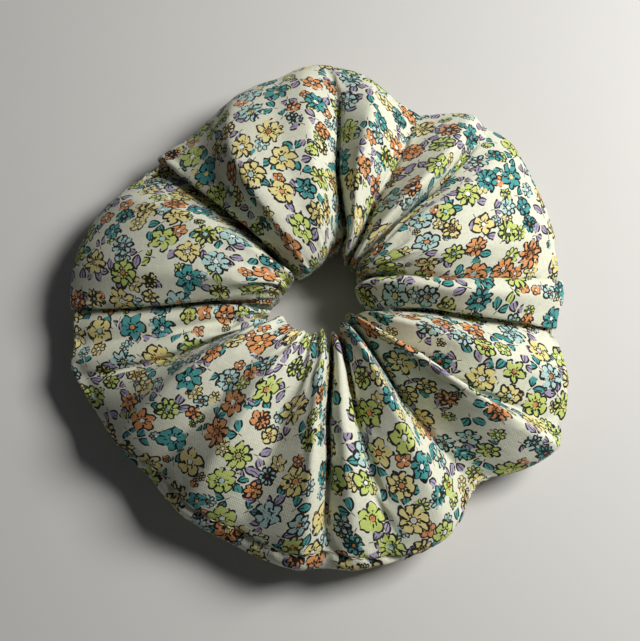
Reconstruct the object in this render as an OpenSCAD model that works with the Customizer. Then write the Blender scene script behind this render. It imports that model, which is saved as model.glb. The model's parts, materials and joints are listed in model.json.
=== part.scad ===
// Gathered fabric scrunchie: a sewn cotton tube over a closed ring of flat elastic.
// Millimetres, +Z up, origin at the middle of the underside. It lies flat, as on a table.

/* [Ring] */
// Radius of the round hair opening at rest
hole_r = 12; // [11:0.5:13]
// How far the opening sits from the middle of the box, along X
ring_dx = -0.8; // [-2:0.1:2]
// How far the opening sits from the middle of the box, along Y
ring_dy = 3.2; // [1:0.1:5]
// Scale of the outward reach of every puff
puff_reach = 1; // [0.95:0.01:1.05]
// Scale of the height of every puff
puff_height = 1; // [0.9:0.01:1.1]

/* [Cloth tube] */
// Wall left between the outer cloth surface and the hollow
wall_t = 2.2; // [1.8:0.1:3]
// Number of small pleats gathered round the opening
pleat_n = 26; // [20:2:32]
// Height of the small pleats at the opening
pleat_h = 3.2; // [1:0.1:4]
// Height of the outer edge of the tube above the table
edge_z = 9; // [7:0.5:11]
// Height of the inner edge of the tube above the table
inner_z = 12; // [10:0.5:14]

/* [Elastic] */
// Radius of the middle of the elastic ring
elastic_r = 19.5; // [19:0.1:20]
// Width of the elastic, standing upright in the tube
elastic_w = 8; // [6:0.5:9]
// Thickness of the elastic
elastic_t = 1; // [0.8:0.1:1.2]
// Angle over which the two ends lap
lap_deg = 36; // [30:1:44]
// Direction of the middle of the lap
lap_at = 75; // [60:1:100]

/* [Sewing] */
// Thread radius
thread_r = 0.17; // [0.12:0.01:0.2]
// Stitches in the long seam
long_stitches = 200; // [120:10:220]
// Stitches in the seam that joins the two tube ends
end_stitches = 44; // [30:2:50]
// Direction of the seam that joins the two tube ends
end_seam_at = 193; // [188:1:200]

/* [Hidden] */
// Each puff crown or notch of the outline: direction, reach from the opening, crest height
stations = [
    [0, 66, 27], [13, 67, 29], [27, 69, 29], [44, 70.5, 28], [53, 67.5, 26],
    [61, 60.5, 21], [74, 62.5, 26], [90, 65, 30], [104, 63.5, 29], [117, 59.5, 24],
    [125, 56.5, 18], [137, 58.5, 20], [150, 61, 25], [166, 65, 28], [179, 64.5, 25],
    [189, 63.5, 20], [198, 66, 22], [210, 64, 27], [226, 64, 28], [243, 67, 28],
    [260, 70, 27], [276, 71.5, 28], [292, 71.5, 27], [303, 67.5, 24], [310, 62.5, 20],
    [319, 70, 24], [330, 74, 27], [342, 69, 26], [353, 62.5, 22]
];
// Long folds: direction at the opening, direction at the rim, depth, half width in degrees
folds = [
    [25, 6, 5, 9], [47.5, 62, 9, 11], [92.5, 94, 4, 10], [130, 127, 10, 12],
    [157.5, 160, 4, 10], [197.5, 188, 9, 12], [240, 236, 4, 10], [265, 262, 5, 9],
    [285, 289, 5, 9], [300, 310, 8, 10], [317.5, 329, 5, 8], [330, 353, 9, 10]
];
around = 144;
elastic_z = inner_z - 1;
section = 20;
core_around = 72;
core_section = 12;
core_in = 20;
thread_sides = 4;
cloth_colour = [0.88, 0.87, 0.77];
elastic_colour = [0.93, 0.92, 0.88];
thread_colour = [0.90, 0.87, 0.74];
bobbin_colour = [0.84, 0.80, 0.66];

function wrapped(col) = [
    for (k = [-360, 0, 360]) for (s = stations) [s[0] + k, s[col]]
];
rim_table = [
    for (k = [-360, 0, 360]) for (f = folds) [f[0] + k, f[1] + k]
];
reach_table = wrapped(1);
crest_table = wrapped(2);
function soften(a, table) =
    (lookup(a - 4, table) + 2 * lookup(a, table) + lookup(a + 4, table)) / 4;
function turn(a) = a - 360 * floor(a / 360);
function reach(a) = puff_reach * soften(turn(a), reach_table);
function crest(a) = puff_height * soften(turn(a), crest_table);
function gap(a, b) = abs(turn(a - b + 180) - 180);

// Every fold runs from the opening (t = 0, direction g) to the rim (t = 1)
function rim_turn(g) = lookup(g, rim_table) - g;
function heading(g, t) = g + rim_turn(g) * t;
function sum(v, i = 0) = i < len(v) ? v[i] + sum(v, i + 1) : 0;
function fold_depth(g, t) = sum([
    for (f = folds) let(off = gap(g, f[0]) / f[3])
        off < 1 ? f[2] * pow(1 - off, 1.4) * min(1, 0.55 + t) : 0
]);

// Small pleats: sharp valleys, rounded ridges, uneven spacing, fading outward
function pleat(g) = abs(sin(pleat_n / 2 * g + 34 * sin(3 * g) + 22 * sin(5 * g + 40)));
function pleat_drop(g, t) = pleat_h * (1 - pleat(g)) * pow(max(0, 1 - t), 1.3);

// Cloth rises over the elastic: the least height of the top over it
function ride_over(t) = t < 0.3 ? 20 : 20 - 60 * (t - 0.3);

// Outer cloth surface: g is the fold direction, p the angle round the tube section
function out_t(p) = 0.5 + 0.5 * sign(cos(p)) * pow(abs(cos(p)), 0.85);
function inner_r(g) = hole_r - 1.4 + 0.5 * pleat(g);
function edge_height(t) = inner_z + (edge_z - inner_z) * t;
function top_high(g, t) = max(
    crest(heading(g, t)) - fold_depth(g, t) - pleat_drop(g, t),
    edge_height(t) + 6,
    ride_over(t)
);
function under_z(p, t) = max(0, edge_height(t) * (1 - 1.35 * pow(abs(sin(p)), 0.75)));
function spread(g, t) = inner_r(g) + (reach(heading(g, 1)) - inner_r(g)) * t;
function around_ring(g, t, r, z) = [r * cos(heading(g, t)), r * sin(heading(g, t)), z];
function cloth_point(g, p) = let(
    t = out_t(p),
    low = edge_height(t),
    top = low + (top_high(g, t) - low) * pow(abs(sin(p)), 0.85)
) around_ring(g, t, spread(g, t), sin(p) >= 0 ? top : under_z(p, t));

// Hollow of the tube, kept clear of every pleat and fold; its outer edge is a sharp crease
function core_reach(g) = reach(heading(g, 1)) - wall_t - 1.4;
function core_point(g, p, inset) = let(
    u = 0.5 + 0.5 * sign(cos(p)) * pow(abs(cos(p)), 0.9),
    outer = core_reach(g) + (cos(p) > 0.999 ? 1 : 0) - inset,
    r = core_in + inset + (outer - core_in - inset) * u,
    t = (r - inner_r(g)) / (reach(heading(g, 1)) - inner_r(g)),
    low = edge_height(t),
    up = (top_high(g, t) - wall_t - 1.5 - low) * 0.86 - inset,
    down = low - wall_t - inset,
    round = pow(abs(sin(p)), 1.1)
) around_ring(g, t, r, sin(p) >= 0 ? low + max(0.9, up) * round : low - down * round);

// Closed ring skin from a grid of points, n round the ring and m round the section
module ring_skin(grid, n, m) {
    faces = [
        for (i = [0 : n - 1]) for (j = [0 : m - 1]) for (h = [0, 1]) let(
            a = i * m + j,
            b = ((i + 1) % n) * m + j,
            c = ((i + 1) % n) * m + (j + 1) % m,
            d = i * m + (j + 1) % m
        ) h == 0 ? [a, c, b] : [a, d, c]
    ];
    polyhedron(points = grid, faces = faces, convexity = 8);
}

// Thread swept along a list of points, steadied by the direction ref it never runs along
function unit(v) = v / norm(v);
module thread(path, closed, ref) {
    n = len(path);
    s = thread_sides;
    rings = [
        for (i = [0 : n - 1]) let(
            before = path[closed ? (i + n - 1) % n : max(0, i - 1)],
            after = path[closed ? (i + 1) % n : min(n - 1, i + 1)],
            along = unit(after - before),
            side = unit(cross(along, ref)),
            up = cross(side, along)
        ) for (k = [0 : s - 1])
            path[i] + thread_r * (cos(360 * k / s) * side + sin(360 * k / s) * up)
    ];
    last = closed ? n - 1 : n - 2;
    walls = [
        for (i = [0 : last]) for (k = [0 : s - 1]) for (h = [0, 1]) let(
            a = i * s + k,
            b = ((i + 1) % n) * s + k,
            c = ((i + 1) % n) * s + (k + 1) % s,
            d = i * s + (k + 1) % s
        ) h == 0 ? [a, b, c] : [a, c, d]
    ];
    caps = closed ? [] : [
        [for (k = [0 : s - 1]) k],
        [for (k = [0 : s - 1]) (n - 1) * s + s - 1 - k]
    ];
    polyhedron(points = rings, faces = concat(walls, caps), convexity = 6);
}

module in_ring() {
    translate([ring_dx, ring_dy, 0])
        children();
}

module cover() {
    color(cloth_colour)
        in_ring()
            difference() {
                ring_skin([
                    for (i = [0 : around - 1]) for (j = [0 : section - 1])
                        cloth_point(360 * i / around, 360 * j / section)
                ], around, section);
                ring_skin([
                    for (i = [0 : core_around - 1]) for (j = [0 : core_section - 1])
                        core_point(360 * i / core_around, 360 * j / core_section, 0)
                ], core_around, core_section);
                rotate_extrude($fn = 120)
                    translate([elastic_r - elastic_t / 2 - 0.6, elastic_z - elastic_w / 2 - 0.5])
                        square([2 * elastic_t + 1.35, elastic_w + 1]);
                translate([0, 0, -1])
                    cylinder(h = 42, r = hole_r, $fn = 96);
            }
}

// Flat elastic: one strip bent into a ring, its far end stepping outside its near end
function strip_r(a) = elastic_r + (elastic_t + 0.15) * min(1, max(0, (a - 300) / 20));
module elastic_band() {
    z0 = elastic_z - elastic_w / 2;
    first = 0;
    final = 360 + lap_deg;
    steps = 110;
    angles = [for (i = [0 : steps]) first + (final - first) * i / steps];
    inside = [for (a = angles) (strip_r(a) - elastic_t / 2) * [cos(a), sin(a)]];
    outside = [
        for (i = [steps : -1 : 0])
            (strip_r(angles[i]) + elastic_t / 2) * [cos(angles[i]), sin(angles[i])]
    ];
    color(elastic_colour)
        in_ring()
            difference() {
                rotate([0, 0, lap_at - lap_deg / 2])
                    translate([0, 0, z0])
                        linear_extrude(height = elastic_w)
                            polygon(concat(inside, outside));
                for (h = joint_holes())
                    rotate([0, 0, h[0]])
                        translate([elastic_r - 1.5, 0, h[1]])
                            rotate([0, 90, 0])
                                cylinder(h = 4.5, r = 0.6, $fn = 24);
            }
}

// Stitch holes of the elastic joint: two upright rows across the lap
rows = [-7, 7];
row_stitches = 4;
function joint_z(k) = elastic_z + (k / row_stitches - 0.5) * (elastic_w - 2);
function joint_holes() = [
    for (k = [0 : row_stitches]) [lap_at + rows[0], joint_z(k)],
    for (k = [0 : row_stitches]) [lap_at + rows[1], joint_z(row_stitches - k)]
];
// Side -1 is the inner face of the lap and 1 is the outer face; the threads hook in mid-lap
module joint_thread(side) {
    holes = joint_holes();
    mid_r = elastic_r + (elastic_t + 0.15) / 2;
    face_r = mid_r + side * (elastic_t + 0.075 + thread_r + 0.06);
    hook_r = mid_r - side * 0.1;
    aside = side * 0.22 / mid_r * 180 / PI;
    last = len(holes) - 1;
    path = [
        for (k = [0 : last]) let(up = k <= row_stitches ? 1 : -1)
            for (q = [-1 : 2]) let(
                a = q == 2 ? lap_at : holes[k][0] + (q == 0 ? aside : 0),
                r = q == 0 ? hook_r : face_r,
                z = holes[k][1] + (q == 2 ? 0 : 0.28 * q * up)
            ) if (q < 2 || k == row_stitches) [r * cos(a), r * sin(a), z]
    ];
    in_ring()
        thread(path, false, [cos(lap_at + 45), sin(lap_at + 45), 0]);
}
module elastic_joint_needle_thread() {
    color(thread_colour)
        joint_thread(-1);
}
module elastic_joint_bobbin_thread() {
    color(bobbin_colour)
        joint_thread(1);
}

// Lockstitch: side 1 runs above the seam line and side -1 below; they hook at each hole
module seam_thread(base, count, side, ref) {
    path = [
        for (k = [0 : count - 1]) for (q = [0, 1]) let(
            at = base(k + (q == 0 ? 0 : 0.5)),
            lift = q == 0 ? -0.03 : 0.34,
            aside = q == 0 ? 0.22 : 0
        ) at[0] + side * lift * at[1] + side * aside * at[2]
    ];
    in_ring()
        thread(path, true, ref);
}

// Seam line along the outer edge of the hollow: point, across the cloth, sideways
long_line = function (k) let(
    g = 360 * k / long_stitches,
    r = core_reach(g) - 1.5,
    t = (r - inner_r(g)) / (reach(heading(g, 1)) - inner_r(g)),
    a = heading(g, t)
) [around_ring(g, t, r, edge_height(t)), [0, 0, 1], [cos(a), sin(a), 0]];

module long_seam_needle_thread() {
    color(thread_colour)
        seam_thread(long_line, long_stitches, 1, [0, 0, 1]);
}
module long_seam_bobbin_thread() {
    color(bobbin_colour)
        seam_thread(long_line, long_stitches, -1, [0, 0, 1]);
}

// Seam line round the tube section where the two ends of the tube meet
end_across = [-sin(end_seam_at), cos(end_seam_at), 0];
end_inset = 1.25;
end_line = function (k) let(
    p = 360 * k / end_stitches,
    after = core_point(end_seam_at, p + 2, end_inset),
    before = core_point(end_seam_at, p - 2, end_inset)
) [(after + before) / 2, end_across, unit(cross(unit(after - before), end_across))];

module end_seam_needle_thread() {
    color(thread_colour)
        seam_thread(end_line, end_stitches, 1, end_across);
}
module end_seam_bobbin_thread() {
    color(bobbin_colour)
        seam_thread(end_line, end_stitches, -1, end_across);
}

cover();
elastic_band();
long_seam_needle_thread();
long_seam_bobbin_thread();
end_seam_needle_thread();
end_seam_bobbin_thread();
elastic_joint_needle_thread();
elastic_joint_bobbin_thread();
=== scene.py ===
import json
import math
import bpy
import numpy as np
from mathutils import Matrix, Vector


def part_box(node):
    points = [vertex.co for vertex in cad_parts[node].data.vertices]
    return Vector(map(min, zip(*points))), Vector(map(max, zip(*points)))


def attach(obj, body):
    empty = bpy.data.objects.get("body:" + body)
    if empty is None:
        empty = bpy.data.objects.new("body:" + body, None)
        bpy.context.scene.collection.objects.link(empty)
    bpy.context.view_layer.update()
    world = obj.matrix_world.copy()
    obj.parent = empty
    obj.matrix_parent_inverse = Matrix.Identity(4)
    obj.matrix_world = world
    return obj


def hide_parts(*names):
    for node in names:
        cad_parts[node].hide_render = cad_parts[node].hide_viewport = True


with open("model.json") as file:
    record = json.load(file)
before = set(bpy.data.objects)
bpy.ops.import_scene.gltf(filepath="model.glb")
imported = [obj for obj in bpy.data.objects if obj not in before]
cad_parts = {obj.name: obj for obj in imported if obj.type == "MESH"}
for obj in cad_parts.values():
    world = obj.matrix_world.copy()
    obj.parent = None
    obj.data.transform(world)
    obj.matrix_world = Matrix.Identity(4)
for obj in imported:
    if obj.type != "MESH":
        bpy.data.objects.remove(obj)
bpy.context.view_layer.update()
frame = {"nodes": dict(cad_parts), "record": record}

MM = 0.001
MOUNTS = {mount["name"]: mount for mount in frame["record"]["mounts"]}
HAIR_OPENING = MOUNTS["hair_opening"]
RING_X = HAIR_OPENING["pos_m"][0] / MM
RING_Y = HAIR_OPENING["pos_m"][1] / MM

# ---------------------------------------------------------------------------------------
# The cover's shape: one tube of cloth, laid round the ring. Lengths are in millimetres and
# directions in degrees, counter-clockwise from +X as seen from above.

# direction, reach from the middle of the opening, height of the puff's crown
OUTLINE = [
    (0, 66, 23), (13, 67, 25), (27, 69, 25), (44, 72, 25), (53, 67.5, 24), (61, 62, 22),
    (74, 64, 24), (80, 67, 25), (86, 69.5, 25), (92, 68.5, 25), (98, 66, 25), (104, 64, 25),
    (117, 59.5, 24), (125, 57.5, 21),
    (137, 59, 21), (150, 61, 23), (166, 65, 24), (179, 65, 23), (189, 64.5, 21),
    (196, 67.5, 22), (210, 64, 24), (226, 64, 25), (243, 67, 25), (260, 70, 25),
    (276, 71.5, 25), (292, 71.5, 25), (303, 68, 24), (310, 64, 23), (319, 70, 24),
    (330, 74, 25), (342, 69, 24), (353, 63.5, 22)]

# Folds, in order along the strip from its end seam. Each has its direction at the opening,
# half way out and at the rim, then how far the cloth stands proud (+) or sinks (-) at those
# three places. Where a direction runs backwards, one puff overhangs the next.
FOLDS = [
    (195, 184.5, 180.5, -3, -5.5, -2), (200, 192, 188, -1, -1.8, -0.3),
    (204, 195.5, 191, -2.5, -4.5, -1.5), (208, 201, 195.5, -1, -1.5, 0),
    (213, 206, 199, -2, -3.6, -1.2), (223, 216, 216, 3.5, 4.8, 1.6),
    (236, 229, 228, 3.5, -0.6, -0.4), (252, 241, 238, 4, 4.2, 1.4),
    (264, 254, 251, 3.5, -0.85, -0.5), (275, 268, 265.5, 4, 4.6, 1.8),
    (280, 272.5, 270, -3.5, -2.2, -0.6), (287, 277.5, 276, 3.5, 3, 1),
    (292, 284.5, 284, -1.5, -1.6, 0.3), (302, 298, 296.5, 3.5, 3.8, 1.5),
    (308, 305.5, 307, 1.5, -4.4, -1.8), (314, 320.5, 326.5, 4, 5.5, 2.5),
    (320, 324, 330.5, -3, -4.8, -1.8), (329, 336, 341, 1, 1.5, 0.5),
    (341, 350.5, 354, -4, -5.4, -2.1), (349, 348.5, 351.5, -1, -1.5, -0.3),
    (4, 356, 0, 3.5, 3.5, 1), (13, 3, 5, 0, -0.3, 0),
    (17, 0.5, 3, -2.5, -4.2, -2.1), (22, 13, 15, 2, 1.5, 0.5),
    (27, 24, 25, 0, 1.4, 0.2), (32, 33, 37, 1, 2, 0.5),
    (37, 40.5, 46, -1.5, -2.4, -1.2), (41, 43.5, 50.5, 2, 3.6, 1.8),
    (48, 58, 62, -1.5, -2.7, -1.5), (51, 71, 76, 2, 4, 2),
    (64, 81, 86, -5, -3.5, 0.8), (82, 92, 93, 5, 3, 0.8),
    (101, 105, 98, 4.5, 2.2, 0.3), (127, 126, 109, 3.5, 4.5, 1.5),
    (138, 139, 138, 0.5, 0, 0), (141, 134, 131, -4, -6.6, -4.8),
    (154, 151, 153, 3, 2, 0.5), (167, 164, 164, 1.5, 1.6, 0),
    (180, 177, 174, 3.5, 2, 0.5), (191, 187.5, 183.5, -1, -1.8, 0)]

# direction at the rim, and reach of the tube's inner edge
INNER_EDGE = [
    (0, 11.2), (12, 11.8), (30, 12.6), (86, 12.6), (93, 11), (98, 8.4), (109, 7.8), (131, 7.8),
    (153, 8.4), (164, 9.3), (174, 10.2), (183.5, 11.6), (192, 12.6), (215, 14), (232, 15.2),
    (247, 15), (256, 14.5), (266, 13.5), (275, 12.6), (330, 12.6), (350, 11.4)]

# direction and place of the long seam round the tube's section, where 0 is the side at the
# opening, 0.25 the top and 0.5 the outer edge
SEAM_PLACE = [(0, 0.53), (205, 0.53), (228, 0.42), (275, 0.415), (297, 0.5), (318, 0.53)]

CLOTH_WIDTH = 124.0      # round the tube, without seam allowances
COLUMNS = 380            # round the ring
ROWS = 70                # round the tube's section
LINES_ROUND = 140        # lines along the strip that the shape is worked out on
FINE = 12                # steps between two folds
MIDDLE_HEIGHT = 11.5     # of the tube's inner edge
INNER_SLOPE = 0.35       # less is steeper beside the opening
OUTER_SLOPE = 0.75       # more is lower towards the rim
UNDER_SLOPE = 4.0        # more is flatter underneath
CROWN_DROP = 1.0         # from the outline's crowns
OUTER_DROP = 2.5         # how much lower the outer edge's middle is
UNDERSIDE = 0.8
ELASTIC_THICKNESS = 1.0
ELASTIC_ROOM = 0.8       # left free round the elastic
HALF_WAY = 0.42          # where along the way out a fold's middle values hold
FOLD_STRENGTH = 1.15     # all the folds' depths are multiplied by it
SOFTEN = 3               # degrees each way over which tables are softened
SECTION_POWER = 0.85     # less draws the section's points towards its two edges
SMALL_STEP = 0.004       # in places round the section, for taking its slope
UNDER_START = 9.0        # more makes the underside drop sooner beside the opening
BEND_NEAR = 1.6          # how a fold's direction changes from the opening to half way
BEND_FAR = 1.3           # and from there to the rim
FADE_FAR = 1.5           # and how its depth does
UNDER_SHARE = 0.35       # of a fold's depth that is left underneath
LOWEST = 0.5             # above the table
SLACK = 1.072            # the cloth's length over the length of the long lines round the ring
LONG_LINES = 0.85        # the share of lines that are shorter than those
SLIT_BELOW = -1.05       # valleys deeper than this take spare cloth, in a slit
DEEPEST_SLIT = 8.0
DEEPEST_SLIT_AT_ELASTIC = 5.4
NEAR_ELASTIC = 0.12      # in places round the section, each way from the inner edge
SLIT_HALF_WIDTH = 0.45
SEAM_ROWS = [0, 0.7, 1.8]   # rows beside the long seam, by their distance from it
FIRST_FAR_ROW = 3.6

# Settling
SIM_SCALE = 10.0         # the cloth solver is steadier at a tenfold size
SIM_FRAMES = 15
HOLD = 0.8               # how far each point is held to where it was laid; less sags more
ALL_HELD = 0.03          # held fully this near to the inner edge, in places round the section
GROW = 0.01              # the share by which the cloth swells
PRESS = 0.1              # air pressure in the tube
BEND = 2.0               # bending stiffness


def round_the_ring(table, directions, column):
    """A table's column at these directions, softened over a few degrees."""
    points = np.array(table, float)
    x = np.concatenate([points[:, 0] - 360, points[:, 0], points[:, 0] + 360])
    y = np.tile(points[:, column], 3)
    turned = np.mod(directions, 360)
    beside = np.interp(turned - SOFTEN, x, y) + np.interp(turned + SOFTEN, x, y)
    return (beside + 2 * np.interp(turned, x, y)) / 4


def unwrapped_folds():
    """The folds with directions that run on past 360, and the first one again at the end."""
    folds = np.array(FOLDS, float)
    folds[:, 3:] *= FOLD_STRENGTH
    for column in range(3):
        for row in range(1, len(folds)):
            step = folds[row, column] - folds[row - 1, column]
            folds[row, column] = folds[row - 1, column] + (step + 180) % 360 - 180
        turn = folds[0, column] - folds[0, 0]
        folds[:, column] -= 360 * round(turn / 360)
    return np.vstack([folds, folds[0] + [360, 360, 360, 0, 0, 0]])


def way_out(s):
    """How far out place s lies, from 0 at the opening to 1 at the rim, and its rise, from 1 on
    top to -1 underneath."""
    across = np.cos(2 * math.pi * s)
    out = 0.5 - 0.5 * np.sign(across) * np.abs(across) ** SECTION_POWER
    return out, np.sin(2 * math.pi * s)


def lean(out):
    """Rises at once beside the opening, then falls gently and straight to the rim."""
    return (1 - out) ** OUTER_SLOPE * out ** INNER_SLOPE


def section_profile(direction, s):
    """Reach and height at place s round a puff's section, before any fold."""
    out, rise = way_out(s)
    inner = round_the_ring(INNER_EDGE, direction, 1)
    reach = inner + (round_the_ring(OUTLINE, direction, 1) - inner) * out
    crown = round_the_ring(OUTLINE, direction, 2) - CROWN_DROP
    edge = MIDDLE_HEIGHT - OUTER_DROP * out
    highest = INNER_SLOPE / (INNER_SLOPE + OUTER_SLOPE)
    full = lean(out) / lean(highest)
    above = edge + (crown - edge) * full
    flat = np.minimum(1, UNDER_SLOPE * (1 - out)) * np.minimum(1, UNDER_START * out) ** 0.5
    below = edge - (edge - UNDERSIDE) * flat
    return reach, np.where(rise >= 0, above, below)


def section_shares():
    """Places round the section, and the share of its length up to each, on an average puff."""
    s = np.linspace(0, 1, 721)
    reach, height = section_profile(np.arange(0, 360, 10.0)[:, None], s[None])
    steps = np.hypot(np.diff(reach), np.diff(height)).mean(0)
    run = np.concatenate([[0], np.cumsum(steps)])
    return s, run / run[-1]


def along_fold(folds, s):
    """Direction and depth of the folds at place s, and their direction at the rim; folds holds
    one fold for each row of s."""
    out, rise = way_out(s)
    near = np.clip(out / HALF_WAY, 0, 1)
    far = np.clip((out - HALF_WAY) / (1 - HALF_WAY), 0, 1)
    hole, half, rim, deep_hole, deep_half, deep_rim = (folds[:, k:k + 1] for k in range(6))
    bent = hole + (half - hole) * (1 - (1 - near) ** BEND_NEAR) + (rim - half) * far ** BEND_FAR
    straight = hole + (rim - hole) * out
    upper = np.where(rise >= 0, 1.0, 0.0) * np.clip(3 * np.abs(rise), 0, 1)
    depth = deep_hole + (deep_half - deep_hole) * near + (deep_rim - deep_half) * far ** FADE_FAR
    kept = UNDER_SHARE + (1 - UNDER_SHARE) * upper
    return bent * upper + straight * (1 - upper), depth * kept, rim + 0 * out


def place(direction, rim, depth, s):
    """Points of the cloth, pushed out of the smooth section by depth."""
    reach, height = section_profile(rim, s)
    reach_a, height_a = section_profile(rim, s - SMALL_STEP)
    reach_b, height_b = section_profile(rim, s + SMALL_STEP)
    run, climb = reach_b - reach_a, height_b - height_a
    size = np.hypot(run, climb) + 1e-9
    reach = reach - depth * climb / size
    height = np.maximum(height + depth * run / size, LOWEST)
    angle = np.radians(direction)
    return np.stack([RING_X + reach * np.cos(angle), RING_Y + reach * np.sin(angle), height], -1)


def clear_of_elastic(points):
    """Moves points that have sunk to the elastic off it, upwards or downwards."""
    low, high = (np.array(corner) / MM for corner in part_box("elastic_band"))
    outside = (high[0] - low[0]) / 2 + ELASTIC_ROOM
    inside = outside - 2 * ELASTIC_ROOM - ELASTIC_THICKNESS
    east, north = points[..., 0] - RING_X, points[..., 1] - RING_Y
    reach = np.hypot(east, north)
    height = points[..., 2]
    over = np.clip((outside + 2 - reach) / 2, 0, 1) * np.clip(reach - inside + 1, 0, 1)
    top, bottom = high[2] + ELASTIC_ROOM, low[2] - ELASTIC_ROOM
    upper = height > (top + bottom) / 2
    lift = np.where(upper, np.maximum(top - height, 0), np.minimum(bottom - height, 0)) * over
    return points + np.stack([0 * lift, 0 * lift, lift], -1)


def softened(values, turn=0.0):
    """Values along the ring, averaged with their neighbours; turn is added once round."""
    out = values.copy()
    out[1:-1] = (values[:-2] + 2 * values[1:-1] + values[2:]) / 4
    out[0] = (values[-2] - turn + 2 * values[0] + values[1]) / 4
    out[-1] = out[0] + turn
    return out


def row_places():
    """Where the rows lie round the section, as shares of its length from the seam: close
    together beside it."""
    beside = np.array(SEAM_ROWS) / CLOTH_WIDTH
    start = FIRST_FAR_ROW / CLOTH_WIDTH
    far = np.linspace(start, 1 - start, ROWS - 2 * len(SEAM_ROWS) + 1)
    return np.concatenate([beside, far, 1 - beside[:0:-1]])


def valley_rows(folds):
    """The folds that take a slit: the two ends of the strip, and each deep valley between."""
    depths = folds[:, 4]
    last = len(folds) - 1
    deep = [k for k in range(1, last)
            if depths[k] < min(depths[k - 1], depths[k + 1], SLIT_BELOW)]
    return np.array([0] + deep + [last])


def smooth_puffs(folds, lines):
    """Direction, direction at the rim, depth and run of every line, before there are slits."""
    count = len(folds) - 1
    tau = np.linspace(0, count, count * FINE + 1)
    whole = np.minimum(tau.astype(int), count - 1)
    part = (tau - whole)[:, None]
    between = folds[whole] * (1 - part) + folds[whole + 1] * part
    s = lines[None] + 0 * part
    direction, depth, rim = along_fold(between, s)
    steps = np.linalg.norm(np.diff(place(direction, rim, depth, s), axis=0), axis=2)
    run = np.concatenate([np.zeros((1, len(lines))), np.cumsum(steps, axis=0)])
    return direction, rim, depth, run


def slit_line(s, along, start, slit, at_valley, run, values):
    """One line of the cloth along the strip, sunk into the slits at the valleys."""
    knots = np.stack([start - slit, start + slit + 1e-6], 1).reshape(-1)[1:-1]
    arc = np.interp(along, knots, np.repeat(at_valley, 2)[1:-1])
    nearest = np.abs(along[:, None] - start).argmin(1)
    away = along - start[nearest]
    sunk = np.maximum(slit[nearest] - np.abs(away), 0)
    wall = np.sign(away) * np.minimum(sunk, SLIT_HALF_WIDTH)
    direction, rim, depth = (np.interp(arc, run, value) for value in values)
    reach = section_profile(rim, np.full(len(along), s))[0]
    turned = softened(direction + np.degrees(wall / reach), 360.0)
    sunken = softened(depth - sunk)
    return place(turned[:, None], rim[:, None], sunken[:, None], np.full((len(along), 1), s))[:, 0]


def from_the_seam(grid, seam, places, shares):
    """The grid's columns resampled, so that each one's section starts at the long seam. Also
    the place of each point round its section."""
    share = np.mod(np.interp(seam, places, shares)[:, None] + row_places(), 1.0)
    at = share * LINES_ROUND
    low = at.astype(int) % LINES_ROUND
    mix = (at - np.floor(at))[..., None]
    column = np.arange(COLUMNS + 1)[:, None]
    points = grid[column, low] * (1 - mix) + grid[column, (low + 1) % LINES_ROUND] * mix
    points[-1] = points[0]
    return points, np.interp(share, shares, places)


def laid_cloth():
    """The tube as hands would lay it: points (COLUMNS + 1, ROWS, 3), the place of each point
    round its section, and the strip's length, which its outer lines need. On the shorter lines
    the spare cloth goes into slits at the valleys, as far as their greatest depth allows, and
    the rest is pressed together: the line beside the elastic keeps about half its length."""
    folds = unwrapped_folds()
    valleys = valley_rows(folds)
    places, shares = section_shares()
    lines = np.interp(np.arange(LINES_ROUND) / LINES_ROUND, shares, places)
    direction, rim, depth, run = smooth_puffs(folds, lines)

    # the cloth between two valleys is as long as the long lines need
    at_valley = run[valleys * FINE]
    spans = np.diff(at_valley, axis=0)
    cloth = np.quantile(spans, LONG_LINES, axis=1) * SLACK
    start = np.concatenate([[0], np.cumsum(cloth)])
    along = np.linspace(0, start[-1], COLUMNS + 1)
    spare = np.maximum(cloth[:, None] - spans, 0)
    near_elastic = np.minimum(lines, 1 - lines) < NEAR_ELASTIC
    deepest = np.where(near_elastic, DEEPEST_SLIT_AT_ELASTIC, DEEPEST_SLIT)
    slits = np.minimum((spare + np.roll(spare, 1, 0)) / 4, deepest)
    slits = np.vstack([slits, slits[:1]])

    grid = np.empty((COLUMNS + 1, LINES_ROUND, 3))
    for k, s in enumerate(lines):
        values = (direction[:, k], rim[:, k], depth[:, k])
        grid[:, k] = slit_line(s, along, start, slits[:, k], at_valley[:, k], run[:, k], values)
    seam = round_the_ring(SEAM_PLACE, np.interp(along, start, folds[valleys, 2]), 1)
    points, s = from_the_seam(grid, seam, places, shares)
    return points, s, start[-1]


# ---------------------------------------------------------------------------------------
# Settling the laid cloth by simulation

def cloth_mesh(points, name):
    """A closed tube mesh of points (columns, rows, 3)."""
    columns, rows = points.shape[:2]
    faces = [(a * rows + b,
              (a + 1) % columns * rows + b,
              (a + 1) % columns * rows + (b + 1) % rows,
              a * rows + (b + 1) % rows)
             for a in range(columns) for b in range(rows)]
    mesh = bpy.data.meshes.new(name)
    mesh.from_pydata(points.reshape(-1, 3).tolist(), [], faces)
    mesh.update()
    piece = bpy.data.objects.new(name, mesh)
    bpy.context.scene.collection.objects.link(piece)
    return piece


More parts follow.
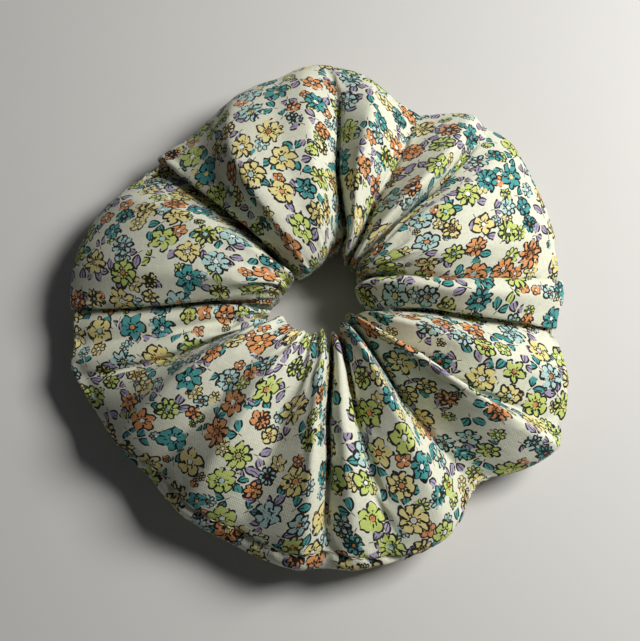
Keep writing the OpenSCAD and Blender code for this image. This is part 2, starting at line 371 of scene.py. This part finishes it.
def settle(points, s):
    """The cloth after it has settled under its own weight. Its inner edge stays held fully, and
    the rest partly."""
    scale = MM * SIM_SCALE
    cloth = cloth_mesh(points[:-1] * scale, "settling_cloth")
    bpy.ops.mesh.primitive_plane_add(size=6)
    table = bpy.context.object
    table.modifiers.new("stop", "COLLISION")
    table.collision.thickness_outer = 0.003
    table.collision.cloth_friction = 8
    held = cloth.vertex_groups.new(name="held")
    from_elastic = np.minimum(s[:-1], 1 - s[:-1]).reshape(-1)
    weights = np.where(from_elastic < ALL_HELD, 1.0, HOLD)
    for index, weight in enumerate(weights):
        held.add([index], float(weight), "REPLACE")
    solver = cloth.modifiers.new("cloth", "CLOTH")
    fabric = solver.settings
    fabric.quality = 6
    fabric.mass = 0.2
    fabric.tension_stiffness = 20
    fabric.compression_stiffness = 20
    fabric.shear_stiffness = 8
    fabric.bending_model = "ANGULAR"
    fabric.bending_stiffness = BEND
    fabric.tension_damping = 8
    fabric.compression_damping = 8
    fabric.shear_damping = 5
    fabric.bending_damping = 0.8
    fabric.air_damping = 2
    fabric.vertex_group_mass = "held"
    fabric.pin_stiffness = 1
    fabric.shrink_min = -GROW
    fabric.shrink_max = -GROW
    fabric.use_pressure = True
    fabric.uniform_pressure_force = PRESS
    fabric.effector_weights.gravity = 1
    touch = solver.collision_settings
    touch.collision_quality = 3
    touch.distance_min = 0.004
    touch.use_self_collision = True
    touch.self_distance_min = 0.006
    touch.self_friction = 5
    solver.point_cache.frame_start = 1
    solver.point_cache.frame_end = SIM_FRAMES
    for number in range(1, SIM_FRAMES + 1):
        bpy.context.scene.frame_set(number)
    shape = cloth.evaluated_get(bpy.context.evaluated_depsgraph_get()).data
    flat = np.empty(len(shape.vertices) * 3)
    shape.vertices.foreach_get("co", flat)
    bpy.data.objects.remove(cloth)
    bpy.data.objects.remove(table)
    bpy.context.scene.frame_set(1)
    settled = flat.reshape(points[:-1].shape) / scale
    return np.concatenate([settled, settled[:1]])


# ---------------------------------------------------------------------------------------
# Patterns on surfaces, written as sums

class Number:
    """A number that varies over a surface. Sums of Numbers become shader nodes."""

    def __init__(self, pattern, socket):
        self.pattern = pattern
        self.socket = socket

    def __add__(self, other):
        return self.pattern.math("ADD", self, other)

    def __radd__(self, other):
        return self.pattern.math("ADD", other, self)

    def __sub__(self, other):
        return self.pattern.math("SUBTRACT", self, other)

    def __rsub__(self, other):
        return self.pattern.math("SUBTRACT", other, self)

    def __mul__(self, other):
        return self.pattern.math("MULTIPLY", self, other)

    def __rmul__(self, other):
        return self.pattern.math("MULTIPLY", other, self)

    def __truediv__(self, other):
        return self.pattern.math("DIVIDE", self, other)

    def __rtruediv__(self, other):
        return self.pattern.math("DIVIDE", other, self)

    def __pow__(self, other):
        return self.pattern.math("POWER", self, other)

    def __abs__(self):
        return self.pattern.math("ABSOLUTE", self)


class Pattern:
    """Makes the shader nodes of one material."""

    def __init__(self, name):
        self.material = bpy.data.materials.new(name)
        self.material.use_nodes = True
        self.tree = self.material.node_tree
        self.tree.nodes.clear()
        self.shader = self.tree.nodes.new("ShaderNodeBsdfPrincipled")
        output = self.tree.nodes.new("ShaderNodeOutputMaterial")
        self.tree.links.new(self.shader.outputs["BSDF"], output.inputs["Surface"])

    def feed(self, socket, value):
        if isinstance(value, Number):
            value = value.socket
        if isinstance(value, bpy.types.NodeSocket):
            self.tree.links.new(value, socket)
        else:
            socket.default_value = value

    def node(self, kind, settings=None, **inputs):
        made = self.tree.nodes.new("ShaderNode" + kind)
        for key, value in (settings or {}).items():
            setattr(made, key, value)
        for key, value in inputs.items():
            self.feed(made.inputs[key.replace("_", " ")], value)
        return made

    def math(self, operation, *values):
        made = self.tree.nodes.new("ShaderNodeMath")
        made.operation = operation
        for socket, value in zip(made.inputs, values):
            self.feed(socket, value)
        return Number(self, made.outputs[0])

    def smaller(self, a, b):
        return self.math("MINIMUM", a, b)

    def larger(self, a, b):
        return self.math("MAXIMUM", a, b)

    def below(self, value, edge, soft):
        """1 where value is below edge, 0 above it, with a soft step between."""
        made = self.node("MapRange", {"interpolation_type": "SMOOTHSTEP"}, Value=value,
                         To_Min=1.0, To_Max=0.0)
        self.feed(made.inputs["From Min"], edge - soft)
        self.feed(made.inputs["From Max"], edge + soft)
        return Number(self, made.outputs["Result"])

    def vector(self, x, y, z=0.0):
        return self.node("CombineXYZ", X=x, Y=y, Z=z).outputs[0]

    def parts(self, vector):
        made = self.node("SeparateXYZ", Vector=vector)
        return [Number(self, socket) for socket in made.outputs]

    def channels(self, color):
        made = self.node("SeparateColor", Color=color)
        return [Number(self, socket) for socket in made.outputs[:3]]

    def noise(self, vector, scale, detail=2.0):
        made = self.node("TexNoise", Vector=vector, Scale=scale, Detail=detail)
        return Number(self, made.outputs[0])

    def mixed(self, kind, amount, below, above):
        made = self.node("Mix", {"data_type": "RGBA", "blend_type": kind})
        colors = [socket for socket in made.inputs if socket.type == "RGBA"]
        self.feed(made.inputs[0], amount)
        self.feed(colors[0], below)
        self.feed(colors[1], above)
        return [socket for socket in made.outputs if socket.type == "RGBA"][0]

    def blend(self, amount, below, above):
        """Colour above laid over colour below, by amount."""
        return self.mixed("MIX", amount, below, above)

    def multiplied(self, color, shade):
        """A colour made lighter or darker by a number."""
        gray = self.node("CombineColor", Red=shade, Green=shade, Blue=shade).outputs[0]
        return self.mixed("MULTIPLY", 1.0, color, gray)

    def swatches(self, pick, shares):
        """One flat colour of several, picked by a number from 0 to 1; shares holds each
        colour and the share of picks that it gets."""
        made = self.node("ValToRGB", Fac=pick)
        ramp = made.color_ramp
        ramp.interpolation = "CONSTANT"
        total = sum(share for share, _ in shares)
        reached = 0.0
        for index, (share, color) in enumerate(shares):
            stop = ramp.elements[0] if index == 0 else ramp.elements.new(reached / total)
            stop.position = reached / total
            stop.color = color
            reached += share
        while len(ramp.elements) > len(shares):
            ramp.elements.remove(ramp.elements[-1])
        return made.outputs["Color"]

    def finish(self, color, roughness, height=None, depth=0.0002, **constants):
        """Sets the shader's inputs; constants go straight on its own sockets."""
        self.feed(self.shader.inputs["Base Color"], color)
        self.feed(self.shader.inputs["Roughness"], roughness)
        for key, value in constants.items():
            self.shader.inputs[key.replace("_", " ")].default_value = value
        if height is not None:
            bump = self.node("Bump", Height=height, Distance=depth, Strength=1.0)
            self.tree.links.new(bump.outputs[0], self.shader.inputs["Normal"])
        return self.material


def srgb(red, green, blue):
    """A display colour, 0 to 255, as linear light."""
    parts = [value / 255 for value in (red, green, blue)]
    return tuple(p / 12.92 if p < 0.04045 else ((p + 0.055) / 1.055) ** 2.4 for p in parts) + (1.0,)


# The print
CREAM = srgb(227, 227, 206)
INK = srgb(5, 7, 10)
ORANGE = srgb(228, 156, 98)
TEAL = srgb(78, 160, 158)
SKY = srgb(182, 214, 208)
YELLOW = srgb(234, 218, 146)
LIME = srgb(202, 216, 120)
LILAC = srgb(170, 157, 184)
WHITE = srgb(245, 245, 238)
INK_COVER = 0.98
FLOWER_SPACING = 6.9     # the print's own millimetres, as are the next eight
FLOWER_REACH = 3.25
SPRIG_SPACING = 4.6
BUD_REACH = 1.9
FLOWER_LINE = 0.225
LEAF_LINE = 0.22
LEAF_LENGTH = 3.3
LEAF_HALF_WIDTH = 0.92
THREAD_PITCH = 0.30      # of the weave
LEAF_TURN = math.radians(42)    # away from the stem
BUD_BRUSH = 0.65         # line of the buds, as a share of the flowers' line
BUDS_FROM = 0.68         # sprigs that draw a higher number than this are buds
SOFT_EDGE = 0.04         # of the drawn lines
MISPRINT = 0.22          # how far the colour lies off its outline
FEWEST_PETALS = 5.0
MORE_PETALS = 4.99       # times a random number, then rounded down, are added
HEART_REACH = 0.22       # as a share of the flower's, as are the next five
GAP_AT = 0.52            # middle of the lines between the petals
GAP_HALF = 0.15
STROKE_AT = 0.36         # middle of the short strokes from the heart
STROKE_HALF = 0.12
FILL_REACH = 0.97
STROKE_LINE = 0.15       # millimetres, as is the next
RING_LINE = 0.13         # round the heart
TURN = 6.28              # about one turn, in radians
PRINT_ALONG = 0.83       # the print's millimetres in one of the flat cloth's, along the strip
PRINT_ACROSS = 0.87      # and across it
UV_MM = 100.0            # one unit of the cloth's UV layer, in millimetres
ELASTIC_RIB = 0.0011     # metres between the elastic's ribs
YARN_ROUND = 90.0        # the elastic's yarn: radians of its wave for each radian of the ring
YARN_UP = 2800.0         # and for each metre of height
PLY = 9000.0             # radians of a sewing thread's twist for each metre
FUZZ = 2500.0            # scale of a sewing thread's unevenness
BAKE_MARGIN = 0.004      # round each half of the strip in the export's UV layer

# Camera and light, in metres
CAMERA_AT = Vector((-0.0140, -0.0908, 0.2986))
CAMERA_LOOKS = Vector((0.04585, 0.29061, -0.95574))
CAMERA_RIGHT = Vector((0.99894, -0.016815, 0.042806))
CAMERA_LENS = 64.6       # millimetres
KEY_AT = (0.35, 0.13, 0.37)
KEY_SIZE = 0.22
KEY_POWER = 3.2
KEY_COLOR = (0.995, 0.99, 0.97)
SKY_COLOR = (0.82, 0.88, 0.95, 1)
SKY_STRENGTH = 0.045
FLOOR_DROP = 0.0002      # keeps the floor clear of the cloth's underside

# The seams
SEAM_DIP = 1.4           # how far the long seam draws the cloth in
STITCH = 2.4
STITCH_DEPTH = 0.35      # of a thread's wave through the cloth
THREAD_RADIUS = 0.13
THREAD_SIDES = 6
NEEDLE_LIFT = 0.9        # from the seam inwards
BOBBIN_LIFT = 1.5


def scattered(pattern, x, y, spacing, randomness, seed):
    """Random spots on the cloth: the point's place relative to its nearest spot in mm, the
    room that the spot has, and three random numbers."""
    at = pattern.vector(x / spacing + seed, y / spacing + seed * 1.7)
    nearest = {"voronoi_dimensions": "2D", "feature": "F1"}
    radius = {"voronoi_dimensions": "2D", "feature": "N_SPHERE_RADIUS"}
    spot = pattern.node("TexVoronoi", nearest, Vector=at, Scale=1.0, Randomness=randomness)
    free = pattern.node("TexVoronoi", radius, Vector=at, Scale=1.0, Randomness=randomness)
    spot_x, spot_y, _ = pattern.parts(spot.outputs["Position"])
    dx = (x / spacing + seed - spot_x) * spacing
    dy = (y / spacing + seed * 1.7 - spot_y) * spacing
    room = Number(pattern, free.outputs["Radius"]) * spacing
    return dx, dy, room, pattern.channels(spot.outputs["Color"])


def flower(pattern, dx, dy, reach, kind, turn, hand, brush):
    """One drawn flower: masks of its fill, its ink and its heart. kind, from 0 to 1, sets the
    number of petals and how pointed they are; hand wobbles the shape and brush the line."""
    petals = pattern.math("FLOOR", kind * MORE_PETALS) + FEWEST_PETALS
    pointed = 0.45 + 0.9 * pattern.math("FRACT", kind * 7.3)
    depth = 0.26 + 0.24 * pattern.math("FRACT", kind * 11.7)
    angle = pattern.math("ARCTAN2", dy, dx) + turn * TURN + 1.1 * (hand - 0.5)
    distance = pattern.math("SQRT", dx * dx + dy * dy) * (0.72 + 0.56 * hand)
    half_petal = angle * petals * 0.5
    lobe = abs(pattern.math("COSINE", half_petal))
    edge = reach * (1.0 - depth + depth * lobe ** pointed)
    line = FLOWER_LINE * brush
    # the outline is as wide on the petals' sides as on their tips
    steep = abs(pattern.math("SINE", half_petal)) * petals * reach * depth * 0.45
    steep = steep / pattern.larger(distance, 0.3)
    across = abs(distance - edge) / pattern.math("SQRT", 1.0 + steep * steep)
    outline = pattern.below(across, line, SOFT_EDGE)
    # lines between the petals, and short strokes from the heart
    to_gap = lobe * distance / petals * 2.0
    gap = pattern.below(to_gap, line, SOFT_EDGE)
    gap = gap * pattern.below(abs(distance - reach * GAP_AT), reach * GAP_HALF, 0.1)
    to_middle = abs(pattern.math("SINE", half_petal)) * distance / petals * 2.0
    stroke = pattern.below(to_middle, STROKE_LINE * brush, SOFT_EDGE)
    from_stroke = abs(distance - reach * STROKE_AT)
    stroke = stroke * pattern.below(from_stroke, reach * STROKE_HALF, 0.08)
    ring = pattern.below(abs(distance - reach * HEART_REACH), RING_LINE * brush, SOFT_EDGE)
    ink = pattern.larger(pattern.larger(outline, gap), pattern.larger(stroke, ring))
    # the colour is printed a little off its outline
    shifted = distance + MISPRINT * pattern.math("COSINE", angle - turn * TURN + 0.8)
    fill = pattern.below(shifted, edge * FILL_REACH, 0.05)
    heart = pattern.below(distance, reach * HEART_REACH, 0.05)
    return fill, ink, heart


def leaf_pair(pattern, dx, dy, turn, brush):
    """Two drawn leaves on one stem: masks of their fill and their ink."""
    cosine = pattern.math("COSINE", turn * TURN)
    sine = pattern.math("SINE", turn * TURN)
    along = dx * cosine + dy * sine
    across = dy * cosine - dx * sine
    sideways = abs(across)
    # the same place in the nearer leaf's own directions
    tip = along * math.cos(LEAF_TURN) + sideways * math.sin(LEAF_TURN) - LEAF_LENGTH * 0.62
    side = abs(sideways * math.cos(LEAF_TURN) - along * math.sin(LEAF_TURN))
    share = tip / LEAF_LENGTH * 2.0
    half = LEAF_HALF_WIDTH * (1.0 - share * share)
    off = side - half
    fill = pattern.below(off + 0.10 * pattern.math("SINE", dx + dy), -0.03, 0.05)
    outline = pattern.below(abs(off + 0.04), LEAF_LINE * brush, SOFT_EDGE)
    rib = pattern.below(side, 0.10 * brush, SOFT_EDGE)
    rib = rib * pattern.below(tip, LEAF_LENGTH * 0.22, 0.08)
    rib = rib * pattern.below(off, 0.0, 0.05)
    stem = pattern.below(sideways, 0.09, SOFT_EDGE) * pattern.below(abs(along + 0.35), 0.5, 0.08)
    return fill, pattern.larger(pattern.larger(outline, rib), stem)


def weave(pattern, x, y, pitch):
    """Height of a plain weave of that thread spacing, from 0 to 1."""
    warp = pattern.math("SINE", x * (math.pi / pitch))
    weft = pattern.math("SINE", y * (math.pi / pitch))
    return 0.5 + 0.5 * warp * weft


def sprigs(pattern, x, y, hand, brush):
    """The cream ground with leaf pairs and buds scattered over it."""
    dx, dy, room, (pick, hue, turn) = scattered(pattern, x, y, SPRIG_SPACING, 0.7, 40.0)
    leaf_fill, leaf_ink = leaf_pair(pattern, dx, dy, turn, brush)
    leaves = pattern.swatches(hue, [(0.45, TEAL), (0.5, LILAC), (0.05, LIME)])
    reach = pattern.smaller(room * 0.95, BUD_REACH)
    fine_brush = brush * BUD_BRUSH
    bud_fill, bud_ink, bud_heart = flower(pattern, dx, dy, reach, turn, hue, hand, fine_brush)
    buds = pattern.swatches(turn, [(0.22, ORANGE), (0.3, YELLOW), (0.26, SKY), (0.22, LIME)])
    is_bud = pattern.math("GREATER_THAN", pick, BUDS_FROM)
    is_leaf = 1.0 - is_bud
    color = pattern.blend(leaf_fill * is_leaf, CREAM, leaves)
    color = pattern.blend(bud_fill * is_bud, color, buds)
    color = pattern.blend(bud_heart * is_bud, color, WHITE)
    ink = pattern.larger(leaf_ink * is_leaf, bud_ink * is_bud)
    return pattern.blend(ink * INK_COVER, color, INK)


def flowers(pattern, x, y, at, hand, brush, ground):
    """Flowers scattered over the ground, with the dye's uneven strength in all but their ink."""
    dx, dy, room, (kind, hue, turn) = scattered(pattern, x, y, FLOWER_SPACING, 0.62, 10.0)
    reach = pattern.smaller(room * 0.97, FLOWER_REACH)
    fill, ink, heart = flower(pattern, dx, dy, reach, kind, turn, hand, brush)
    petals = [(0.2, ORANGE), (0.14, TEAL), (0.22, LIME), (0.24, YELLOW), (0.2, SKY)]
    hearts = [(0.2, YELLOW), (0.35, WHITE), (0.3, ORANGE), (0.15, SKY)]
    petals = pattern.swatches(hue, petals)
    hearts = pattern.swatches(turn, hearts)
    color = pattern.blend(pattern.larger(fill, ink), ground, CREAM)
    color = pattern.blend(fill, color, petals)
    color = pattern.blend(heart, color, hearts)
    color = pattern.multiplied(color, 0.90 + 0.2 * pattern.noise(at, 1.1, 1.0))
    return pattern.blend(ink * INK_COVER, color, INK)


def printed_cotton():
    """Cream cotton with a small tossed floral print."""
    pattern = Pattern("printed_cotton")
    uv = pattern.node("UVMap", {"uv_map": "cloth"}).outputs[0]
    u, v, _ = pattern.parts(uv)
    x, y = u * (UV_MM * PRINT_ALONG), v * (UV_MM * PRINT_ACROSS)
    at = pattern.vector(x, y)
    hand = pattern.noise(at, 0.5, 1.0)
    # the pen's line, from its full width to nothing where it skips
    pen = pattern.noise(pattern.vector(x, y, 7.0), 0.8, 1.0)
    brush = pattern.below(pen, 0.59, 0.09) * 1.05
    ground = sprigs(pattern, x, y, hand, brush)
    color = flowers(pattern, x, y, at, hand, brush, ground)

    thread = weave(pattern, x, y, THREAD_PITCH)
    weft = pattern.noise(pattern.vector(x * 0.35, y * 3.2), 1.0, 2.0)
    warp = pattern.noise(pattern.vector(x * 3.2, y * 0.35, 3.0), 1.0, 2.0)
    slub = (weft + warp) * 0.5
    height = thread * 0.2 + slub
    # painted shade: the weave's low places, where the threads dip under, are a little darker; the
    # slubs vary the grain's tone at random
    shade = 0.95 + 0.05 * thread + 0.3 * (slub - 0.5)
    color = pattern.multiplied(color, shade)
    roughness = 0.78 + 0.12 * slub
    return pattern.finish(color, roughness, height, 0.00016, Sheen_Weight=0.15,
                          Sheen_Roughness=0.45, Specular_IOR_Level=0.25)


def woven_elastic():
    """White braided elastic: ribs along the band, crossed by the cover yarn."""
    pattern = Pattern("woven_elastic")
    x, y, z = pattern.parts(pattern.node("TexCoord").outputs["Object"])
    angle = pattern.math("ARCTAN2", y - RING_Y * MM, x - RING_X * MM)
    rib = abs(pattern.math("SINE", z * (math.pi / ELASTIC_RIB)))
    yarn = abs(pattern.math("SINE", angle * YARN_ROUND + z * YARN_UP))
    height = rib * 0.7 + yarn * 0.3
    # painted shade: the colour darkens from the tops of the ribs and yarn into the grooves between
    # them, following the bump's height
    color = pattern.blend(height, srgb(196, 192, 180), srgb(240, 238, 228))
    return pattern.finish(color, 0.7 + 0.2 * yarn, height, 0.0003, Sheen_Weight=0.1,
                          Specular_IOR_Level=0.3)


def sewing_thread(name, light, dark):
    """Twisted sewing thread; the plies show as fine slanting bands."""
    pattern = Pattern(name)
    x, y, z = pattern.parts(pattern.node("TexCoord").outputs["Object"])
    twist = 0.5 + 0.5 * pattern.math("SINE", (x + y + 2.0 * z) * PLY)
    fuzz = pattern.noise(pattern.vector(x, y, z), FUZZ, 2.0)
    # painted shade: the dark colour goes in the grooves between the plies, where the twist is low;
    # the fuzz mixes in random tone
    color = pattern.blend(twist * 0.6 + fuzz * 0.4, dark, light)
    return pattern.finish(color, 0.55 + 0.25 * fuzz, twist, 0.00004, Sheen_Weight=0.1,
                          Specular_IOR_Level=0.4)


# ---------------------------------------------------------------------------------------
# The pieces

def cover_mesh(points, length, width):
    """The cover as an open strip: its long edges meet at the seam, and its cloth UVs measure
    the flat cloth."""
    columns, rows = points.shape[0] - 1, points.shape[1]
    inward = points.mean(1, keepdims=True) - points
    inward /= np.linalg.norm(inward, axis=2, keepdims=True)
    points = points.copy()
    points[:, 0] += SEAM_DIP * inward[:, 0]
    grid = np.concatenate([points[:-1], points[:-1, :1]], axis=1)
    faces = [(a * (rows + 1) + b,
              (a + 1) % columns * (rows + 1) + b,
              (a + 1) % columns * (rows + 1) + b + 1,
              a * (rows + 1) + b + 1)
             for a in range(columns) for b in range(rows)]
    mesh = bpy.data.meshes.new("printed_cover")
    mesh.from_pydata((grid * MM).reshape(-1, 3).tolist(), [], faces)
    cloth = mesh.uv_layers.new(name="cloth")
    baked = mesh.uv_layers.new(name="OFBake")
    corner_a = np.array([0, 1, 1, 0])
    corner_b = np.array([0, 0, 1, 1])
    a, b = np.divmod(np.arange(columns * rows), rows)
    along = (a[:, None] + corner_a) / columns
    across = np.append(row_places(), 1.0)[b[:, None] + corner_b]
    flat = np.stack([along * length / UV_MM, across * width / UV_MM], -1)
    cloth.data.foreach_set("uv", flat.reshape(-1))
    # two halves of the strip, one above the other, fill the square
    upper = (a >= columns // 2)[:, None]
    half_u = np.where(upper, along * 2 - 1, along * 2) * (1 - 2 * BAKE_MARGIN) + BAKE_MARGIN
    half_v = np.where(upper, 0.5, 0) + BAKE_MARGIN + across * (0.5 - 2 * BAKE_MARGIN)
    baked.data.foreach_set("uv", np.stack([half_u, half_v], -1).reshape(-1))
    mesh.uv_layers.active = cloth
    mesh.polygons.foreach_set("use_smooth", [True] * len(mesh.polygons))
    mesh.update()
    piece = bpy.data.objects.new("printed_cover", mesh)
    bpy.context.scene.collection.objects.link(piece)
    return piece


def apply_modifiers(piece):
    """Bakes the piece's modifiers into its mesh."""
    shape = piece.evaluated_get(bpy.context.evaluated_depsgraph_get())
    mesh = bpy.data.meshes.new_from_object(shape)
    piece.modifiers.clear()
    piece.data = mesh


def make_cover(cotton):
    """The gathered cloth tube, settled and made smooth."""
    points, s, length = laid_cloth()
    points = settle(points, s)
    points = clear_of_elastic(points)
    cover = cover_mesh(points, length, CLOTH_WIDTH)
    smooth = cover.modifiers.new("smooth", "SUBSURF")
    smooth.levels = 1
    apply_modifiers(cover)
    cover.data.materials.clear()
    cover.data.materials.append(cotton)
    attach(cover, "root")
    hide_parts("cover")
    round(length * MM, 3)
    return points


def thread_mesh(name, path, radius, material):
    """A thin closed tube of thread along a closed path of points in millimetres."""
    ahead = np.roll(path, -1, 0) - np.roll(path, 1, 0)
    ahead /= np.linalg.norm(ahead, axis=1)[:, None]
    up = np.array([0.0, 0.0, 1.0]) - ahead * ahead[:, 2:3]
    up += 0.3 * np.array([0.3, 0.2, 0.0])   # never quite zero on an upright stretch
    side = np.cross(ahead, up)
    side /= np.linalg.norm(side, axis=1)[:, None]
    up = np.cross(side, ahead)
    turn = np.arange(THREAD_SIDES) * 2 * math.pi / THREAD_SIDES
    ring = side[:, None] * np.cos(turn)[:, None] + up[:, None] * np.sin(turn)[:, None]
    points = (path[:, None] + radius * ring) * MM
    piece = cloth_mesh(points, name)
    piece.data.polygons.foreach_set("use_smooth", [True] * len(piece.data.polygons))
    piece.data.materials.append(material)
    return piece


def seam_path(line, inward, stitch, lift, phase):
    """The wave of one thread of a lockstitch along a closed line, kept inside the cloth."""
    step = np.linalg.norm(np.roll(line, -1, 0) - line, axis=1)
    run = np.concatenate([[0], np.cumsum(step)])
    stitches = round(run[-1] / stitch)
    at = np.linspace(0, run[-1], stitches * 6 + 1)[:-1]
    closed = np.concatenate([line, line[:1]])
    turned = np.concatenate([inward, inward[:1]])
    base = np.stack([np.interp(at, run, closed[:, k]) for k in range(3)], 1)
    away = np.stack([np.interp(at, run, turned[:, k]) for k in range(3)], 1)
    wave = 0.5 + 0.5 * np.cos(2 * math.pi * at / run[-1] * stitches + phase)
    return base + away * (lift + STITCH_DEPTH * wave)[:, None]


def inward_from(line, centre):
    """Unit steps from a line's points towards the middle of the tube."""
    inward = centre - line
    return inward / np.linalg.norm(inward, axis=1)[:, None]


def sew(points, needle, bobbin):
    """The stitches of the two seams in the cloth: along the tube and across its joined ends."""
    centre = points.mean(1)
    seams = (("long_seam", points[:-1, 0], centre[:-1]),
             ("end_seam", points[0], centre[0]))
    threads = (("needle", needle, NEEDLE_LIFT, 0.0),
               ("bobbin", bobbin, BOBBIN_LIFT, math.pi))
    for seam, line, middle in seams:
        away = inward_from(line, middle)
        for side, material, lift, phase in threads:
            path = seam_path(line, away, STITCH, lift, phase)
            piece = thread_mesh(seam + "_" + side + "_stitches", path, THREAD_RADIUS, material)
            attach(piece, "root")
            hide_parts(seam + "_" + side + "_thread")


def dress(node, material):
    """Gives a CAD node its finished material."""
    piece = frame["nodes"][node]
    piece.data.materials.clear()
    piece.data.materials.append(material)


# ---------------------------------------------------------------------------------------
# Camera, floor and light

def make_camera():
    """Looks down at the scrunchie, 17 degrees from upright."""
    data = bpy.data.cameras.new("camera")
    data.lens = CAMERA_LENS
    data.clip_start = 0.01
    camera = bpy.data.objects.new("camera", data)
    bpy.context.scene.collection.objects.link(camera)
    look = CAMERA_LOOKS.normalized()
    right = (CAMERA_RIGHT - CAMERA_RIGHT.dot(look) * look).normalized()
    up = right.cross(look)
    axes = Matrix((right, up, -look)).transposed()
    camera.matrix_world = Matrix.Translation(CAMERA_AT) @ axes.to_4x4()
    bpy.context.scene.camera = camera


def make_floor():
    """A plain pale table top, just under the cloth."""
    bpy.ops.mesh.primitive_plane_add(size=3, location=(0, 0, -FLOOR_DROP))
    floor = bpy.context.object
    floor.name = "floor"
    pattern = Pattern("pale_floor")
    at = pattern.node("TexCoord").outputs["Object"]
    roughness = 0.6 + 0.1 * pattern.noise(at, 30.0)
    floor.data.materials.append(pattern.finish(srgb(214, 212, 208), roughness))


def area_light(name, at, size, power, color):
    """A square light that faces the middle of the floor."""
    data = bpy.data.lights.new(name, "AREA")
    data.size = size
    data.energy = power
    data.color = color
    light = bpy.data.objects.new(name, data)
    bpy.context.scene.collection.objects.link(light)
    light.location = at
    light.rotation_euler = (-Vector(at)).to_track_quat("-Z", "Y").to_euler()


def make_light():
    """A soft window-like key from the upper right, and a weak sky."""
    area_light("key", KEY_AT, KEY_SIZE, KEY_POWER, KEY_COLOR)
    world = bpy.data.worlds.new("studio")
    world.use_nodes = True
    background = world.node_tree.nodes["Background"]
    background.inputs["Color"].default_value = SKY_COLOR
    background.inputs["Strength"].default_value = SKY_STRENGTH
    bpy.context.scene.world = world
    bpy.context.scene.view_settings.view_transform = "Standard"


make_camera()
make_floor()
make_light()
# each thread's second, darker colour is painted shade for the grooves between its plies, mixed with
# random tone
needle = sewing_thread("needle_thread", srgb(236, 230, 205), srgb(206, 198, 170))
bobbin = sewing_thread("bobbin_thread", srgb(240, 236, 216), srgb(210, 204, 182))
sew(make_cover(printed_cotton()), needle, bobbin)
dress("elastic_band", woven_elastic())
dress("elastic_joint_needle_thread", needle)
dress("elastic_joint_bobbin_thread", bobbin)
